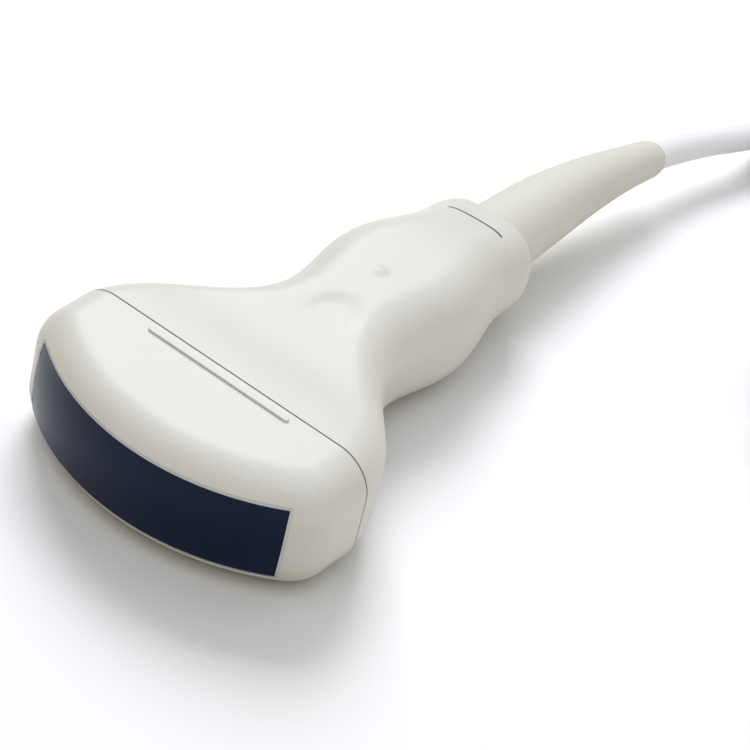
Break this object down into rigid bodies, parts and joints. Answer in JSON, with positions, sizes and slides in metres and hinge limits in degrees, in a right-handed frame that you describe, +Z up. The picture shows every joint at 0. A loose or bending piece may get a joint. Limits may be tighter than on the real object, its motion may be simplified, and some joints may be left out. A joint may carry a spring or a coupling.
{
  "type": "ultrasound transducer probe",
  "caption": "Hand-held convex ultrasound transducer: fan-shaped nose with a curved silicone lens, waisted grip, strain relief and coiled cable with a locking connector.",
  "frame": {"origin": "bottom centre of the probe without its free cord, on the surface it lies on", "axes": "+Y from the lens towards the cable, +X across the fan, +Z up"},
  "size_m": [0.1489, 0.2793, 0.042],
  "materials": {
    "housing": "satin moulded",
    "lens": "satin silicone",
    "bead": "satin",
    "gasket": "matt",
    "epoxy": "matt",
    "ceramic": "matt",
    "backing": "matt",
    "polyimide": "satin",
    "carrier": "machined",
    "board": "satin",
    "socket": "matt",
    "shield": "foil",
    "boot": "matt",
    "cable": "satin",
    "steel": "satin",
    "clamp": "matt",
    "bundle": "matt",
    "case": "fine texture",
    "insert": "matt",
    "contacts": "matt",
    "boot_grey": "matt",
    "knob": "satin"
  },
  "bodies": {
    "probe": {"acoustic_lens": "lens", "array_carrier": "carrier", "backing_block": "backing", "board_link": "socket", "board_lower": "board", "board_socket_lower": "socket", "board_socket_upper": "socket", "board_upper": "board", "cable_clamp_lower": "clamp", "cable_clamp_upper": "clamp", "cable_coil": "cable", "cable_lead_in": "cable", "cable_run": "cable", "cable_tail": "cable", "case_screw_1": "steel", "case_screw_2": "steel", "case_screw_3": "steel", "case_screw_4": "steel", "clamp_screw_left": "steel", "clamp_screw_right": "steel", "coax_bundle": "bundle", "connector_board": "board", "connector_boot": "boot_grey", "connector_case_back": "case", "connector_case_front": "case", "connector_insert": "insert", "contact_block_far": "contacts", "contact_block_near": "contacts", "flex_circuit_lower": "polyimide", "flex_circuit_upper": "polyimide", "grip_shell_lower": "housing", "grip_shell_upper": "housing", "lens_bead": "bead", "matching_layer_inner": "epoxy", "matching_layer_outer": "epoxy", "nose_shell": "housing", "piezo_array": "ceramic", "seam_gasket": "gasket", "shield_can": "shield", "strain_relief": "boot"},
    "lock": {"lock_shaft": "steel", "lock_knob": "knob"}
  },
  "joints": [
    {"name": "lock_turn", "type": "hinge", "parent": "probe", "child": "lock", "pos_m": [0.0776, 0.058, 0.021], "axis": [-1, 0, 0], "range_deg": [0, 90]}
  ]
}
